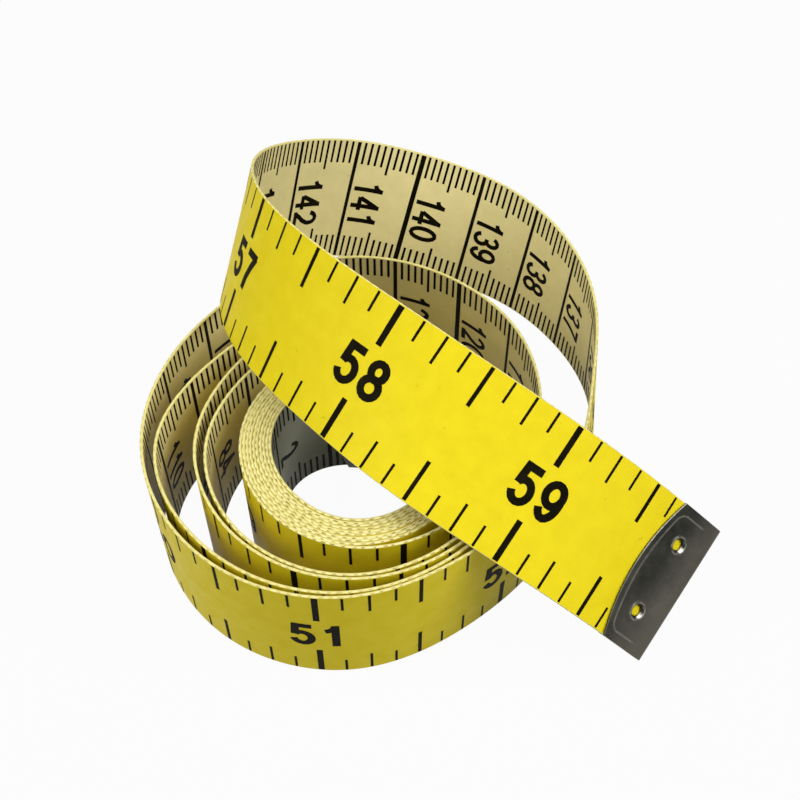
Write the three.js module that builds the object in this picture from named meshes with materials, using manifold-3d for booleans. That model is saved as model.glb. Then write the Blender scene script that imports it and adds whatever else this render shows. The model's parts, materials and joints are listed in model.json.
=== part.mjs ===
// Cloth tape measure, 60 inches long, wound into a coil that stands on its edge.
// The zero end is in the middle, four turns lie loose round the tight core, and the
// last turn climbs at the back and springs forward over the coil to the metal end.
// Millimetres, +Z up. The scale runs with the winding, which is counterclockwise from above.

import * as THREE from 'three';
import { mergeVertices } from 'three/addons/utils/BufferGeometryUtils.js';
import Module from 'manifold-3d';

// The tape: coated cloth, cut to its length between the folds of the two metal ends
const tapeLength = 1524;
const tapeWidth = 19;
const tapeThickness = 0.4;

// The tight core: layers that touch, pressed slightly oval
const coreRadius = 13.8;
const layerPitch = tapeThickness;
const ovalOut = 0.6;
const ovalTowards = THREE.MathUtils.degToRad(125);
const seamWidth = 0.12;
const seamDepth = 0.4;
const outerSeams = 7;

// The turn that lies on the core starts at the right and stays this clear of it
const turnSeat = 0.3;

// How far each turn stands off the turn inside it, face to face, going round from
// the right: right, back right, back, back left, left, front left, front, front right
const turnGaps = [
  [turnSeat, turnSeat, turnSeat, turnSeat, turnSeat, turnSeat, turnSeat, 1.5],
  [4.4, 4.5, 5.9, 2.9, 3.8, 4.0, 3.2, 1.6],
  [0.9, 0.8, 3.0, 1.9, 1.0, 0.6, 0.55, 0.7],
  [0.7, 0.7, 0.8, 2.2, 4.5, 2.9, 0.85, 0.75],
  [1.3, 8.1, 6.8, 5.7, 1.3, 0.55, 0.55, 0.8],
];
const letGoGap = 5.1;
const turnStations = 8;

// The last turn, from where it lets go of the coil at the right, in half inches of
// tape: x and y from that place, height of the tape's middle in tape widths, and how
// far its upper edge leans to +X and +Y for each millimetre that it rises
const freeRoute = [
  [3.4, 10.2, 0.5, -0.09, 0],
  [4.7, 22.7, 0.5, -0.05, 0],
  [1.0, 34.6, 0.5, 0.09, 0.06],
  [-7.0, 44.2, 0.5, 0.19, 0.22],
  [-18.3, 49.3, 0.56, 0.27, 0.39],
  [-30.3, 49.7, 0.73, 0.25, 0.42],
  [-40.0, 43.4, 1.0, 0.24, 0.46],
  [-44.4, 33.2, 1.31, 0.29, 0.46],
  [-42.6, 21.8, 1.53, 0.38, 0.46],
  [-36.1, 11.1, 1.65, 0.53, 0.54],
  [-27.2, 2.3, 1.64, 0.73, 0.73],
  [-17.3, -4.9, 1.52, 1.01, 1.12],
  [-6.7, -9.9, 1.25, 1.16, 1.41],
  [3.4, -13.3, 0.88, 1.31, 1.72],
  [12.2, -15.1, 0.43, 1.31, 1.72],
];
const freeEndReach = 70;

// Stretches of the tape meet end to end with this gap
const stretchGap = 0.3;
const tapeStep = 2.0;

// The metal ends: sheet folded over the tape's end, with an arched inner edge and two
// pierced crimps, whose collars pass through the tape
const endLength = 7;
const endArch = 1.8;
const endSheet = 0.3;
const leafClearance = 0.2;
const crimpSpacing = 9.5;
const crimpFromFold = 5;
const crimpBore = 1.1;
const crimpCollar = 1.6;
const crimpClearance = 0.2;
const roundSides = 20;

// The zero end: its metal lies along the wall of the bore and clears it, and the tape
// then bends into the core, where it ends inside the layers
const zeroEndTowards = THREE.MathUtils.degToRad(54);
const zeroEndClearance = 0.3;
const zeroEndLeaves = THREE.MathUtils.degToRad(25);
const zeroEndBuried = 0.6;

const wasm = await Module();
wasm.setup();

// Solids for joining and cutting

function toSolid(geometry) {
  const bare = geometry.clone();
  bare.deleteAttribute('normal');
  bare.deleteAttribute('uv');
  const merged = mergeVertices(bare, 1e-5);
  return new wasm.Manifold(new wasm.Mesh({
    numProp: 3,
    vertProperties: new Float32Array(merged.attributes.position.array),
    triVerts: new Uint32Array(merged.index.array),
  }));
}

function toGeometry(solid) {
  const mesh = solid.getMesh();
  const geometry = new THREE.BufferGeometry();
  geometry.setAttribute('position', new THREE.BufferAttribute(mesh.vertProperties, 3));
  geometry.setIndex(new THREE.BufferAttribute(mesh.triVerts, 1));
  geometry.computeVertexNormals();
  return geometry;
}

// Smooth route through points of any number of values, by natural cubic splines over chord length

function smoothRoute(points) {
  const knots = [0];
  for (let i = 1; i < points.length; i++) {
    const [from, to] = [points[i - 1], points[i]];
    knots.push(knots[i - 1] + Math.hypot(to[0] - from[0], to[1] - from[1], to[2] - from[2]));
  }
  const last = points.length - 1;
  const bends = points[0].map((_, axis) => {
    const bend = new Array(points.length).fill(0);
    const pull = new Array(points.length).fill(0);
    for (let i = 1; i < last; i++) {
      const span = knots[i + 1] - knots[i - 1];
      const share = (knots[i] - knots[i - 1]) / span;
      const pivot = share * bend[i - 1] + 2;
      const slopeAfter = (points[i + 1][axis] - points[i][axis]) / (knots[i + 1] - knots[i]);
      const slopeBefore = (points[i][axis] - points[i - 1][axis]) / (knots[i] - knots[i - 1]);
      bend[i] = (share - 1) / pivot;
      pull[i] = (6 * (slopeAfter - slopeBefore) / span - share * pull[i - 1]) / pivot;
    }
    bend[last] = 0;
    for (let i = last - 1; i >= 0; i--) bend[i] = bend[i] * bend[i + 1] + pull[i];
    return bend;
  });
  const at = (place) => {
    let low = 0;
    while (low < last - 1 && knots[low + 1] < place) low++;
    const span = knots[low + 1] - knots[low];
    const b = (place - knots[low]) / span;
    const a = 1 - b;
    return bends.map((bend, axis) => a * points[low][axis] + b * points[low + 1][axis]
      + ((a ** 3 - a) * bend[low] + (b ** 3 - b) * bend[low + 1]) * span * span / 6);
  };
  return { at, knots, end: knots[last] };
}

// Cross-sections of the tape along a route: middle, direction, edge-to-edge and outward face

function tapeSections(route, step) {
  const fine = 0.25;
  const count = Math.ceil(route.end / fine);
  const places = [];
  const lengths = [0];
  for (let i = 0; i <= count; i++) {
    places.push(route.at(route.end * i / count));
    if (i === 0) continue;
    const [from, to] = [places[i - 1], places[i]];
    lengths.push(lengths[i - 1] + Math.hypot(to[0] - from[0], to[1] - from[1], to[2] - from[2]));
  }
  const total = lengths[count];
  const section = (length) => {
    let low = Math.min(count - 1, Math.floor(length / total * count));
    while (low > 0 && lengths[low] > length) low--;
    while (low < count - 1 && lengths[low + 1] < length) low++;
    const share = (length - lengths[low]) / (lengths[low + 1] - lengths[low]);
    const mix = (axis) => places[low][axis] * (1 - share) + places[low + 1][axis] * share;
    const before = places[Math.max(0, low - 1)];
    const after = places[Math.min(count, low + 2)];
    const middle = new THREE.Vector3(mix(0), mix(1), mix(2));
    const along = new THREE.Vector3(after[0] - before[0], after[1] - before[1], after[2] - before[2]).normalize();
    const across = new THREE.Vector3(mix(3), mix(4), 1);
    across.addScaledVector(along, -across.dot(along)).normalize();
    const outward = new THREE.Vector3().crossVectors(along, across);
    return { middle, along, across, outward };
  };
  const stretch = (from, to) => {
    const steps = Math.max(1, Math.ceil((to - from) / step));
    return Array.from({ length: steps + 1 }, (_, i) => section(from + (to - from) * i / steps));
  };
  const lengthToPoint = (index) => {
    const place = route.knots[index] / route.end * count;
    const low = Math.min(count - 1, Math.floor(place));
    return lengths[low] + (lengths[low + 1] - lengths[low]) * (place - low);
  };
  return { total, section, stretch, lengthToPoint };
}

// A closed strip, four corners to a section, as wide as each section says or else all of one width

function stripGeometry(sections, thickness, width) {
  const corners = [];
  for (const { middle, across, outward, ownWidth = width } of sections) {
    for (const [face, edge] of [[1, 1], [1, -1], [-1, -1], [-1, 1]]) {
      corners.push(middle.clone().addScaledVector(outward, face * thickness / 2)
        .addScaledVector(across, edge * ownWidth / 2));
    }
  }
  const index = [0, 2, 1, 0, 3, 2];
  for (let i = 0; i < sections.length - 1; i++) {
    for (let side = 0; side < 4; side++) {
      const a = 4 * i + side;
      const b = 4 * i + (side + 1) % 4;
      index.push(a, b + 4, a + 4, a, b, b + 4);
    }
  }
  const end = 4 * (sections.length - 1);
  index.push(end, end + 1, end + 2, end, end + 2, end + 3);
  const geometry = new THREE.BufferGeometry().setFromPoints(corners);
  geometry.setIndex(index);
  geometry.computeVertexNormals();
  return geometry;
}

// Distance from the coil's axis to a face that lies on the oval core

function ovalRadius(radius, angle) {
  return radius + ovalOut * Math.cos(2 * (angle - ovalTowards));
}

// The loose route: eight stations a turn, each outside the same station of the turn before.
// It leads in over the core for two stations, so that the strip is round from its first section

function looseRoutePoints() {
  const halfTape = tapeThickness / 2;
  const stationAngle = (station) => 2 * Math.PI * station / turnStations;
  const faces = Array.from({ length: turnStations }, (_, s) => ovalRadius(coreRadius, stationAngle(s)));
  const points = [];
  const stand = (station, radius) => {
    const angle = stationAngle(station);
    points.push([radius * Math.cos(angle), radius * Math.sin(angle), tapeWidth / 2, 0, 0]);
  };
  const standAt = (station, gap) => {
    const radius = faces[station] + gap + halfTape;
    faces[station] = radius + halfTape;
    stand(station, radius);
  };
  for (const station of [turnStations - 2, turnStations - 1]) stand(station, faces[station] + turnSeat + halfTape);
  const start = points.length;
  for (const gaps of turnGaps) gaps.forEach((gap, station) => standAt(station, gap));
  standAt(0, letGoGap);
  const letGo = points.length - 1;
  const [startX, startY] = points[letGo];
  for (const [x, y, height, leanX, leanY] of freeRoute) {
    points.push([startX + x, startY + y, height * tapeWidth, leanX, leanY]);
  }
  return { points, start, letGo };
}

// Least clear distance between turns of the strip that stand beside each other

function leastGap(sections, thickness) {
  const apart = 12;
  let least = Infinity;
  const line = sections.map(({ middle }) => new THREE.Vector3(middle.x, middle.y, 0));
  const nearest = new THREE.Vector3();
  for (let i = 0; i < line.length; i++) {
    for (let j = i + apart; j < line.length - 1; j++) {
      new THREE.Line3(line[j], line[j + 1]).closestPointToPoint(line[i], true, nearest);
      least = Math.min(least, nearest.distanceTo(line[i]) - thickness);
    }
  }
  return least;
}

// The core of tight turns, with the seams between its layers, and the zero end inside its bore

function coreShape(bore) {
  const sides = 96;
  const ring = (radius, turn) => Array.from({ length: sides }, (_, i) => {
    const angle = turn * 2 * Math.PI * i / sides;
    const reach = ovalRadius(radius, angle);
    return new THREE.Vector2(reach * Math.cos(angle), reach * Math.sin(angle));
  });
  const shape = new THREE.Shape(ring(coreRadius, 1));
  shape.holes.push(new THREE.Path(ring(bore, -1)));
  return shape;
}

function seamSections() {
  const stepsPerTurn = 40;
  const steps = outerSeams * stepsPerTurn;
  const across = new THREE.Vector3(0, 0, 1);
  return Array.from({ length: steps + 1 }, (_, i) => {
    const angle = 2 * Math.PI * i / stepsPerTurn;
    const inward = layerPitch * (outerSeams + 0.5 - i / stepsPerTurn);
    const reach = ovalRadius(coreRadius - inward, angle);
    const outward = new THREE.Vector3(Math.cos(angle), Math.sin(angle), 0);
    const along = new THREE.Vector3(-outward.y, outward.x, 0);
    return { middle: outward.clone().multiplyScalar(reach).setZ(tapeWidth), along, across, outward };
  });
}

function zeroEndRoute(bore) {
  const beside = (angle, inset) => {
    const radius = ovalRadius(bore - inset, angle);
    return [radius * Math.cos(angle), radius * Math.sin(angle), tapeWidth / 2, 0, 0];
  };
  const inset = zeroEndClearance + foldRadius();
  const covered = (endLength + endArch) / (bore - inset);
  const run = [0, 0.25, 0.5, 0.75, 1].map((share) => beside(zeroEndTowards + covered * share, inset));
  const leaves = zeroEndTowards + covered;
  return smoothRoute([...run, beside(leaves + zeroEndLeaves, 0), beside(leaves + 2 * zeroEndLeaves, -zeroEndBuried)]);
}

// A metal end: one sheet folded over the end of the tape, whose two leaves follow the tape.
// fromFold gives the tape's section at a distance from the outside of the fold, facing the fold

function foldRadius() {
  return tapeThickness / 2 + leafClearance + endSheet;
}

function foldedSheet(fromFold) {
  const reach = foldRadius() - endSheet / 2;
  const bendSteps = 12;
  const leafSteps = 7;
  const archShares = [0.12, 0.35, 0.55, 0.72, 0.86, 0.95];
  const leafSection = (length, side, ownWidth) => {
    const { middle, across, outward } = fromFold(length);
    const normal = outward.clone().multiplyScalar(side);
    return { middle: middle.clone().addScaledVector(normal, reach), across, outward: normal, ownWidth };
  };
  const leaf = (side) => {
    const arched = archShares.map((share) => leafSection(endLength + endArch * (1 - share ** 2), side, tapeWidth * share));
    const plain = Array.from({ length: leafSteps + 1 }, (_, i) => {
      const length = THREE.MathUtils.lerp(endLength, foldRadius(), i / leafSteps);
      return leafSection(length, side, tapeWidth);
    });
    return [...arched, ...plain];
  };
  const { middle, along, across, outward } = fromFold(foldRadius());
  const bend = Array.from({ length: bendSteps - 1 }, (_, i) => {
    const turn = Math.PI * (i + 1) / bendSteps;
    const normal = outward.clone().multiplyScalar(Math.cos(turn)).addScaledVector(along, Math.sin(turn));
    return { middle: middle.clone().addScaledVector(normal, reach), across, outward: normal, ownWidth: tapeWidth };
  });
  return stripGeometry([...leaf(1), ...bend, ...leaf(-1).reverse()], endSheet);
}

function crimpCylinders(fromFold, diameter, length) {
  const { middle, along, across, outward } = fromFold(crimpFromFold);
  const frame = new THREE.Matrix4().makeBasis(along, across, outward).setPosition(middle);
  return [-1, 1].map((side) => toSolid(new THREE.CylinderGeometry(diameter / 2, diameter / 2, length, roundSides)
    .rotateX(Math.PI / 2).translate(0, side * crimpSpacing / 2, 0).applyMatrix4(frame)));
}

function metalEndGeometry(fromFold) {
  const outer = 2 * foldRadius();
  let body = toSolid(foldedSheet(fromFold));
  for (const collar of crimpCylinders(fromFold, crimpCollar, outer - endSheet)) body = body.add(collar);
  for (const bore of crimpCylinders(fromFold, crimpBore, 2 * outer)) body = body.subtract(bore);
  return toGeometry(body);
}

function withCrimpHoles(solid, fromFold) {
  const holes = crimpCylinders(fromFold, crimpCollar + 2 * crimpClearance, 4 * foldRadius());
  return holes.reduce((body, hole) => body.subtract(hole), solid);
}

// Materials

const clothYellow = { color: 0xe6cf1e, roughness: 0.55, metalness: 0 };
const metalGrey = { color: 0x4a4a46, roughness: 0.38, metalness: 0.9 };

function namedMesh(name, geometry, finish) {
  const mesh = new THREE.Mesh(geometry, new THREE.MeshStandardMaterial(finish));
  mesh.name = name;
  return mesh;
}

// Assembly

const { points, start, letGo } = looseRoutePoints();
const tape = tapeSections(smoothRoute(points), tapeStep);
const startLength = tape.lengthToPoint(start);
const letGoLength = tape.lengthToPoint(letGo);
const flexLength = tape.total - freeEndReach;
const tapeEndInset = endSheet + stretchGap;

// The bore is what the rest of the tape's length leaves inside the core
const tightLength = tapeLength - (tape.total - startLength);
const boreRadius = Math.sqrt(coreRadius ** 2 - tightLength * layerPitch / Math.PI);

const coil = new THREE.Group();

const zeroTape = tapeSections(zeroEndRoute(boreRadius), tapeStep);
const fromZeroFold = (length) => {
  const { middle, along, across, outward } = zeroTape.section(length);
  return { middle, along: along.negate(), across: across.negate(), outward };
};
const fromOuterFold = (length) => tape.section(tape.total - length);

const coreBlock = new THREE.ExtrudeGeometry(coreShape(boreRadius), { depth: tapeWidth, bevelEnabled: false });
const zeroStrip = stripGeometry(zeroTape.stretch(tapeEndInset, zeroTape.total), tapeThickness, tapeWidth);
const coreSolid = toSolid(coreBlock)
  .subtract(toSolid(stripGeometry(seamSections(), seamWidth, 2 * seamDepth)))
  .add(withCrimpHoles(toSolid(zeroStrip), fromZeroFold));
coil.add(namedMesh('tape_core', toGeometry(coreSolid), clothYellow));

const looseSections = tape.stretch(startLength, letGoLength - stretchGap / 2);
coil.add(namedMesh('tape_loose_turns', stripGeometry(looseSections, tapeThickness, tapeWidth), clothYellow));
console.log(`least gap between turns of the loose strip ${leastGap(looseSections, tapeThickness).toFixed(2)} mm`);

const risingSections = tape.stretch(letGoLength + stretchGap / 2, flexLength - stretchGap / 2);
coil.add(namedMesh('tape_rising_turn', stripGeometry(risingSections, tapeThickness, tapeWidth), clothYellow));

const freeSections = tape.stretch(flexLength + stretchGap / 2, tape.total - tapeEndInset);
const freeStrip = toSolid(stripGeometry(freeSections, tapeThickness, tapeWidth));
coil.add(namedMesh('tape_free_end', toGeometry(withCrimpHoles(freeStrip, fromOuterFold)), clothYellow));

coil.add(namedMesh('zero_end_metal', metalEndGeometry(fromZeroFold), metalGrey));
coil.add(namedMesh('outer_end_metal', metalEndGeometry(fromOuterFold), metalGrey));

// The origin is on the table under the middle of the coil's box
const box = new THREE.Box3().setFromObject(coil, true);
const centre = box.getCenter(new THREE.Vector3());
coil.position.set(-centre.x, -centre.y, -box.min.z);

export default coil;
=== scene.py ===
# Cloth tape measure: a coil that stands on its edge, with its last turn climbing at the back and
# springing forward over the coil. The tape, its printed scales and its metal ends are made flat,
# x along the tape, y across it and z out of its inch face, and are then wound along one route.
# Metres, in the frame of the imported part.

import json
import math

import bpy
import numpy as np
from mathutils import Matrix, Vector

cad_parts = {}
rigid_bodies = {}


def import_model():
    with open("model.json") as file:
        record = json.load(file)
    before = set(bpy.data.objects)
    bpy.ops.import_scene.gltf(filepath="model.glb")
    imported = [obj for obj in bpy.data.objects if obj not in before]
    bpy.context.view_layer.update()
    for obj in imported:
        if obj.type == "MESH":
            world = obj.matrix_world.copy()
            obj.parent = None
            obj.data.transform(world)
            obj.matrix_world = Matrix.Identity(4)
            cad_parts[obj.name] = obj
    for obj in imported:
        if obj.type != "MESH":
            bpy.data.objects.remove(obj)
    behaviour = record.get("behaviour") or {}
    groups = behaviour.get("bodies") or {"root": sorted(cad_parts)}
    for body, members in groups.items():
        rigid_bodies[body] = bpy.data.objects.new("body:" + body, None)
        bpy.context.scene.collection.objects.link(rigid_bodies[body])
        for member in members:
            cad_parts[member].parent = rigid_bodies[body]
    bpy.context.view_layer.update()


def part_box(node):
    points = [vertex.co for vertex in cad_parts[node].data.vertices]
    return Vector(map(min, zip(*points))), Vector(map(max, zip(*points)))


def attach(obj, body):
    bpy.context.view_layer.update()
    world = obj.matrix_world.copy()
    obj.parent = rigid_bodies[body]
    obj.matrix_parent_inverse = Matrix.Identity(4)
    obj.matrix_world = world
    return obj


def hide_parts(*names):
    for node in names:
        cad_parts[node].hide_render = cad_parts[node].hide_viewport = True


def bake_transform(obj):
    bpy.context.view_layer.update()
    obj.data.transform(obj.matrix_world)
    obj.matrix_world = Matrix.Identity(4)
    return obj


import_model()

MM = 0.001
INCH = 25.4 * MM

# The tape, with the numbers of its sides in the order of their finishes
TAPE_LENGTH = 1524 * MM
TAPE_WIDTH = 19 * MM
TAPE_THICKNESS = 0.38 * MM
EDGE_ROUNDING = 0.1 * MM
EDGE_ARC_DEGREES = (90, 55, 18, -18, -55, -90)
STRIP_STEP = 0.5 * MM
FACE_COLUMNS = 8
INCH_SIDE, CENTIMETRE_SIDE, EDGE_SIDE = range(3)

# Patterns of the cloth on its flat coordinates, which are in millimetres from the zero end: threads
# in the coating, weft in the cut edges, where that weft fades, and where the tape turns darker and greyer
# towards its zero end, in the bore
THREAD_PITCH = 0.42
WEFT_PITCH = 1.2
WEFT_BOLD_UP_TO = 800.0
WEFT_FAINT_FROM = 950.0
GREYED_UP_TO = 60.0
CLEAN_FROM = 160.0

# The tight turns: radius of the bore and of the outside, and how far they are pressed oval
BORE_RADIUS = 10.12 * MM
CORE_RADIUS = 13.8 * MM
OVAL_OUT = 0.6 * MM
OVAL_TOWARDS = math.radians(125)
TIGHT_TURNS_END = math.radians(9 * 360 + 270)
LAYER = 0.4 * MM
TURN_SEAT = 0.3 * MM

# The zero end in the bore: its own stations, how far its metal holds it in from the next layer, up to
# where, and the first of the even stations that follow
ZERO_END_STATIONS = [math.radians(angle) for angle in range(54, 127, 12)]
ZERO_END_INSET = 0.45 * MM
INSET_UP_TO = math.radians(96)
INSET_GONE_BY = math.radians(150)
FIRST_EVEN_STATION = 3

# The loose turns: how far each stands off the turn inside it, eight stations to a turn from the right
TURN_GAPS = [
    [0.3, 0.3, 0.3, 0.3, 0.3, 0.3, 0.3, 1.65],
    [4.4, 4.4, 5.9, 2.95, 3.8, 4.0, 3.35, 1.8],
    [0.85, 0.75, 3.0, 1.9, 1.0, 0.3, 0.14, 0.45],
    [0.6, 0.55, 0.7, 2.2, 4.5, 2.9, 1.3, 0.4],
    [1.45, 8.4, 6.9, 5.7, 1.35, 0.75, 0.2, 0.55],
]
LET_GO_GAP = 5.1 * MM
TURN_STATIONS = 8

# The last turn in half inches of tape: x and y from where it lets go of the coil, height of the
# tape's middle in tape widths, and how far its upper edge leans to +X and +Y as it rises
FREE_ROUTE = [
    (3.4, 10.2, 0.5, -0.09, 0),
    (4.7, 22.7, 0.5, -0.05, 0),
    (1.0, 34.6, 0.5, 0.09, 0.06),
    (-7.0, 44.2, 0.5, 0.19, 0.22),
    (-18.3, 49.3, 0.56, 0.27, 0.39),
    (-30.3, 49.7, 0.73, 0.25, 0.42),
    (-40.0, 43.4, 1.0, 0.24, 0.46),
    (-44.4, 33.2, 1.31, 0.29, 0.46),
    (-42.6, 21.8, 1.53, 0.38, 0.46),
    (-36.1, 11.1, 1.65, 0.53, 0.54),
    (-27.2, 2.3, 1.64, 0.73, 0.73),
    (-17.3, -4.9, 1.52, 1.01, 1.12),
    (-6.7, -9.9, 1.25, 1.16, 1.41),
    (3.4, -13.3, 0.88, 1.31, 1.72),
    (12.2, -15.1, 0.43, 1.31, 1.72),
]
ROUTE_STEP = 0.25 * MM

# The turns don't stand quite level: their edges rise and fall by this much as they go round, up to
# where the tape leaves the table, counted back from its outer end
SETTLE = 0.05 * MM
SETTLE_WAVES = [131 * MM, 57 * MM]
LEAVES_TABLE_FROM = 230 * MM
LEFT_TABLE_BY = 180 * MM

# The tape is two pieces, which meet here on the centimetre scale, between two marks
PIECES_MEET = 1432.5 * MM

# The metal ends: sheet folded over the tape and arched at its inner edge
END_LENGTH = 7.4 * MM
END_ARCH = 1.8 * MM
END_SHEET = 0.28 * MM
LEAF_CLEARANCE = 0.12 * MM
TAPE_END_INSET = 0.6 * MM
END_COLUMNS = 120
LEAF_ROWS = 65
BEND_ROWS = 10
# Two pierced crimps in each leaf: radius of the hole, of its wall and of the sheet that it draws in,
# how far the hole leans from the fold, and the hole and the drawn-in sheet in cells of the leaf
CRIMP_SPACING = 9.5 * MM
CRIMP_FROM_FOLD = 5 * MM
CRIMP_HOLE = 0.78 * MM
CRIMP_WALL = 1.0 * MM
CRIMP_REACH = 1.7 * MM
CRIMP_LEAN = 0.14 * MM
CRIMP_HOLE_CELLS = 3
CRIMP_CELLS = 11
# A fine raised line inside the arch and the sides, which fades in between these distances from the fold
BORDER_FROM_ARCH = 0.85 * MM
BORDER_FROM_SIDE = 1.25 * MM
BORDER_CORNER = 1.0 * MM
BORDER_WIDTH = 0.27 * MM
BORDER_HEIGHT = 0.06 * MM
BORDER_STARTS = 2.4 * MM
BORDER_FULL_FROM = 3.6 * MM
# How far the metal is rubbed bright on that line, on the crimps' rims and at the fold, how far a painted
# highlight brightens the cut edge at its left and right, and which side of the crimps' walls gets a painted
# glint
BORDER_RUBBED = 0.3
RIM_RUBBED = 0.55
FOLD_RUBBED = 0.05
CUT_HIGHLIGHT_LEFT = 0.08
CUT_HIGHLIGHT_RIGHT = 0.55
GLINT_SIDE = (-0.9, -0.43)
# How far it is greyed: worn all over, greyer from one side to the other by a painted reflection, and worn
# more up to the fold
WORN_ALL_OVER = 0.24
REFLECTION_TO_ONE_SIDE = 0.35
WORN_AT_FOLD = 0.75

# The print: ink stands this proud of the tape and ends this far inside its edges, and the scale
# is printed this much further on than the tape's own length
INK_PROUD = 0.018 * MM
INK_INSET = 0.2 * MM
PRINT_SHIFT = 0.6 * MM

# The camera: what it looks at on the table, from the middle of the core, how steeply down, from how
# far, and its frame and lens in millimetres
CAMERA_LOOKS_AT = (6.0 * MM, 21.75 * MM)
CAMERA_DOWN = math.radians(52.61)
CAMERA_DISTANCE = 182.49 * MM
CAMERA_FRAME = 36
CAMERA_LENS = 55.52

# The softboxes, all turned to the coil: place, width and depth in metres, and power in watts
SOFTBOXES = {
    "overhead_softbox": ((-0.05, -0.03, 0.55), 0.40, 0.40, 1.0),
    "left_softbox": ((-0.40, -0.10, 0.42), 0.40, 0.40, 1.6),
    "right_softbox": ((0.40, -0.10, 0.42), 0.40, 0.40, 2.1),
    "front_softbox": ((0.0, -0.58, 0.25), 1.0, 0.40, 0.72),
}
LIT_POINT = Vector((0, 0, 0.01))

# The room and the floor: their colours, the share of the room's white that lights the tape, and the
# share of the floor that shows white whatever falls on it
ROOM_COLOUR = (0.97, 0.97, 0.97, 1)
ROOM_LIGHT = 0.05
FLOOR_COLOUR = (0.30, 0.30, 0.29, 1)
FLOOR_WHITE = 0.96
FLOOR_HALF = 1.5
FLOOR_BELOW = 0.05 * MM


# Small helpers for node trees, meshes and objects

def add_node(tree, kind, **settings):
    node = tree.nodes.new(kind)
    for name, value in settings.items():
        setattr(node, name, value)
    return node


def feed(tree, socket, value):
    """Links value into socket if it is another node's output, or sets it there."""
    if isinstance(value, bpy.types.NodeSocket):
        tree.links.new(value, socket)
    else:
        socket.default_value = value


def fed_node(tree, kind, inputs, **settings):
    """The outputs of a new node whose inputs, by name or number, are linked or set."""
    node = add_node(tree, kind, **settings)
    for label, value in inputs.items():
        feed(tree, node.inputs[label], value)
    return node.outputs


def maths(tree, operation, *values, kind="ShaderNodeMath"):
    return fed_node(tree, kind, dict(enumerate(values)), operation=operation)[0]


def product(tree, first, second):
    return maths(tree, "MULTIPLY", first, second)


def vector(tree, x, y, z):
    return fed_node(tree, "ShaderNodeCombineXYZ", {"X": x, "Y": y, "Z": z})[0]


def separated(tree, value):
    return fed_node(tree, "ShaderNodeSeparateXYZ", {0: value})


def scaled(tree, direction, distance):
    return fed_node(tree, "ShaderNodeVectorMath", {0: direction, "Scale": distance}, operation="SCALE")[0]


def summed(tree, first, second):
    return maths(tree, "ADD", first, second, kind="ShaderNodeVectorMath")


def ranged(tree, value, low, high, from_low=0.3, from_high=0.7):
    return fed_node(tree, "ShaderNodeMapRange", {
        "Value": value, "From Min": from_low, "From Max": from_high, "To Min": low, "To Max": high})[0]


def noise(tree, place, scale, detail, roughness=0.5):
    return fed_node(tree, "ShaderNodeTexNoise", {
        "Vector": place, "Scale": scale, "Detail": detail, "Roughness": roughness})[0]


def cleared_tree(owner):
    """The empty node tree of a material or a world."""
    owner.use_nodes = True
    owner.node_tree.nodes.clear()
    return owner.node_tree


def new_group(name, kind, inputs, outputs):
    """A node group with named sockets; returns it with its input and output nodes."""
    tree = bpy.data.node_groups.new(name, kind)
    for direction, sockets in (("INPUT", inputs), ("OUTPUT", outputs)):
        for label, socket_kind in sockets:
            tree.interface.new_socket(label, in_out=direction, socket_type="NodeSocket" + socket_kind)
    return tree, add_node(tree, "NodeGroupInput").outputs, add_node(tree, "NodeGroupOutput").inputs


def new_mesh(name, points, faces, edges=()):
    mesh = bpy.data.meshes.new(name)
    mesh.from_pydata(points, edges, faces)
    return mesh


def set_attribute(mesh, name, kind, domain, values, field="value"):
    """Gives each point, edge or face of a mesh its own value under one name."""
    mesh.attributes.new(name, kind, domain).data.foreach_set(field, np.ravel(values))


def new_object(name, mesh):
    obj = bpy.data.objects.new(name, mesh)
    bpy.context.scene.collection.objects.link(obj)
    return obj


def through_tree(obj, tree, values):
    """Puts an object through a node tree, whose inputs are set by their names."""
    modifier = obj.modifiers.new(tree.name, "NODES")
    modifier.node_group = tree
    for item in tree.interface.items_tree:
        if item.item_type == "SOCKET" and item.in_out == "INPUT" and item.name in values:
            modifier[item.identifier] = values[item.name]
    return obj


def made_plain(obj):
    """Works the object's modifiers into a plain mesh of its own."""
    depsgraph = bpy.context.evaluated_depsgraph_get()
    mesh = bpy.data.meshes.new_from_object(
        obj.evaluated_get(depsgraph), preserve_all_data_layers=True, depsgraph=depsgraph)
    obj.modifiers.clear()
    old = obj.data
    obj.data = mesh
    mesh.name = obj.name
    bpy.data.meshes.remove(old)
    return obj


# The route of the tape

def oval(radius, angle):
    return radius + OVAL_OUT * math.cos(2 * (angle - OVAL_TOWARDS))


def eased(value, low, high):
    share = np.clip((value - low) / (high - low), 0, 1)
    return share * share * (3 - 2 * share)


def tight_radius(angle):
    """Middle of the tape in the tight turns, which touch; the zero end stands in from them by its metal."""
    first = BORE_RADIUS + LAYER / 2
    last = CORE_RADIUS + TURN_SEAT + LAYER / 2
    share = (angle - ZERO_END_STATIONS[0]) / (TIGHT_TURNS_END - ZERO_END_STATIONS[0])
    inset = ZERO_END_INSET * (1 - eased(angle, INSET_UP_TO, INSET_GONE_BY))
    return first + (last - first) * share - inset


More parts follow.
